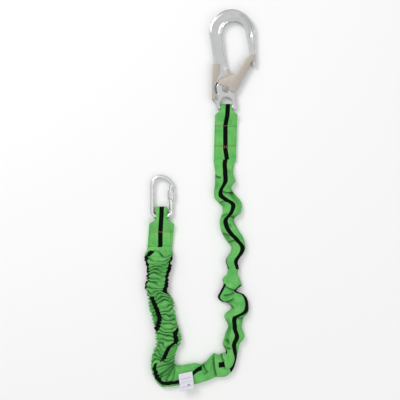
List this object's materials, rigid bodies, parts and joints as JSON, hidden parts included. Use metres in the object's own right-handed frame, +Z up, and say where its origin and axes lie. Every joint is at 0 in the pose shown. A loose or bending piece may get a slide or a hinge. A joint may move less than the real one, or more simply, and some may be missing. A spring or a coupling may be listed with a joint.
{
  "type": "shock absorbing lanyard",
  "caption": "Fall-arrest lanyard with an elasticated webbing jacket, a large scaffold hook at one end and a screw-gate karabiner at the other.",
  "frame": {"origin": "on the surface that the lanyard lies on, under the middle of its bounding box", "axes": "+Y along the lanyard towards the scaffold hook, +X to its right seen from above, +Z up from the surface"},
  "size_m": [0.2669, 0.9193, 0.0265],
  "materials": {
    "forged_aluminium": "polished",
    "pressed_sheet": "satin zinc plate",
    "plated_steel": "bright zinc plate",
    "pin_steel": "satin",
    "spring_steel": "oiled",
    "jacket_webbing": "woven polyester",
    "core_strap": "woven polyester",
    "elastic": "matt",
    "thread": "twisted polyester thread",
    "label_fabric": "coated white tape"
  },
  "bodies": {
    "lanyard": {"karabiner_end": "jacket_webbing", "hook_end": "jacket_webbing", "jacket_gathered": "jacket_webbing", "jacket_bottom": "jacket_webbing", "jacket_loose": "jacket_webbing", "absorber_core": "core_strap", "elastic_cords": "elastic", "karabiner_end_stitching": "thread", "hook_end_stitching": "thread", "label_front": "label_fabric", "label_back": "label_fabric"},
    "hook": {"hook_body": "forged_aluminium", "hook_gate_spring": "spring_steel", "hook_lever_spring": "spring_steel"},
    "gate": {"hook_gate": "pressed_sheet", "hook_gate_rivet": "pin_steel", "hook_guide_pin": "pin_steel"},
    "lever": {"hook_lever": "pressed_sheet", "hook_lever_rivet": "pin_steel"},
    "karabiner": {"karabiner_frame": "plated_steel"},
    "screw_gate": {"karabiner_gate": "plated_steel", "karabiner_hinge_pin": "pin_steel", "karabiner_latch_pin": "pin_steel", "karabiner_plunger": "pin_steel", "karabiner_gate_spring": "spring_steel"},
    "sleeve": {"karabiner_sleeve": "plated_steel"}
  },
  "joints": [
    {"name": "hook_swing", "type": "hinge", "parent": "lanyard", "child": "hook", "pos_m": [0.0635, 0.224, 0.0092], "axis": [1, 0, 0], "range_deg": [-90, 90]},
    {"name": "gate_hinge", "type": "hinge", "parent": "hook", "child": "gate", "pos_m": [0.0635, 0.269, 0.0092], "axis": [0, 0, 1], "range_deg": [0, 31], "stiffness_Nm_per_rad": 0.25, "springref_deg": -34.38},
    {"name": "lever_hinge", "type": "hinge", "parent": "hook", "child": "lever", "pos_m": [0.0375, 0.246, 0.0092], "axis": [0, 0, -1], "range_deg": [0, 4], "stiffness_Nm_per_rad": 1, "springref_deg": -8.59, "deforming": ["hook_lever_spring"]},
    {"name": "karabiner_swing", "type": "hinge", "parent": "lanyard", "child": "karabiner", "pos_m": [-0.0919, -0.0394, 0.0092], "axis": [1, 0, 0], "range_deg": [-90, 90]},
    {"name": "screw_gate_hinge", "type": "hinge", "parent": "karabiner", "child": "screw_gate", "pos_m": [-0.0699, -0.0234, 0.0092], "axis": [0, 0, 1], "range_deg": [0, 22], "stiffness_Nm_per_rad": 0.08, "springref_deg": -34.38},
    {"name": "sleeve_travel", "type": "slide", "parent": "screw_gate", "child": "sleeve", "axis": [0, 1, 0], "range_m": [-0.005, 0.0065]}
  ]
}
